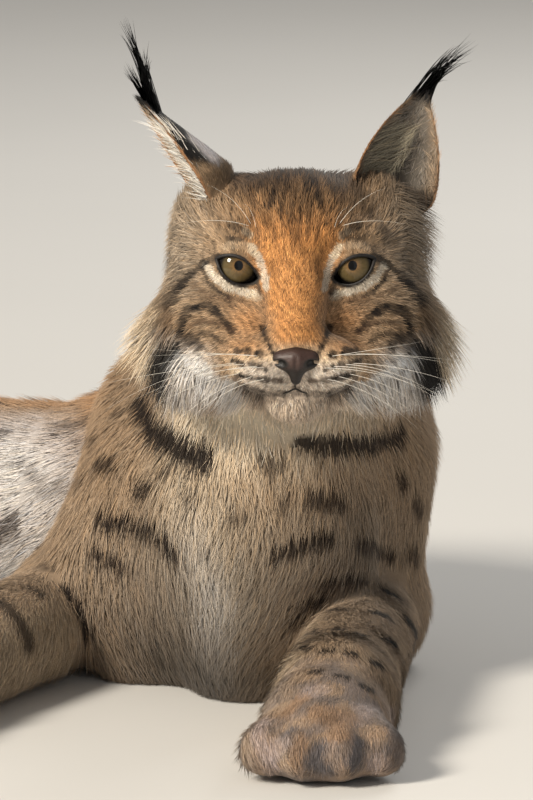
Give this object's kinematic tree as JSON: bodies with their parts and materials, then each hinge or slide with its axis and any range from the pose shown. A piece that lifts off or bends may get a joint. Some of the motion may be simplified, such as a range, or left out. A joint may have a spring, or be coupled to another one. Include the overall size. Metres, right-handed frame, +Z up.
{
  "type": "eurasian lynx",
  "caption": "Still life-size Eurasian lynx resting on its breast with raised head, hindquarters rolled to one side, tufted ears and a cheek ruff.",
  "frame": {"origin": "on the floor under the breastbone, in the small flat that the breast rests on", "axes": "+Z up from the floor, -Y the way the lynx looks, +X towards the lynx's left side"},
  "size_m": [0.8129, 0.6397, 0.437],
  "materials": {
    "face_coat": "short dense fur, tawny with pale and black marks",
    "body_coat": "soft spotted fur, tawny grey above and whitish below",
    "leg_coat": "short tawny fur with dark spots and bars",
    "paw_coat": "short dense tawny fur with grey patches",
    "ear_coat": "short black and grey fur outside, long pale hair inside",
    "tail_coat": "dense tawny fur with a black tip",
    "nose_leather": "fine pebbled skin, slightly moist",
    "eye": "wet gloss over an olive and amber iris"
  },
  "bodies": {
    "root": {"head": "face_coat", "nose": "nose_leather", "eye_left": "eye", "eye_right": "eye", "ear_left": "ear_coat", "ear_right": "ear_coat", "neck": "body_coat", "chest": "body_coat", "belly": "body_coat", "rump": "body_coat", "tail": "tail_coat", "upper_arm_left": "leg_coat", "upper_arm_right": "leg_coat", "forearm_left": "leg_coat", "forearm_right": "leg_coat", "forepaw_left": "paw_coat", "forepaw_right": "paw_coat", "thigh_left": "leg_coat", "thigh_right": "leg_coat", "shank_left": "leg_coat", "shank_right": "leg_coat", "hindfoot_left": "paw_coat", "hindfoot_right": "paw_coat"}
  },
  "joints": []
}
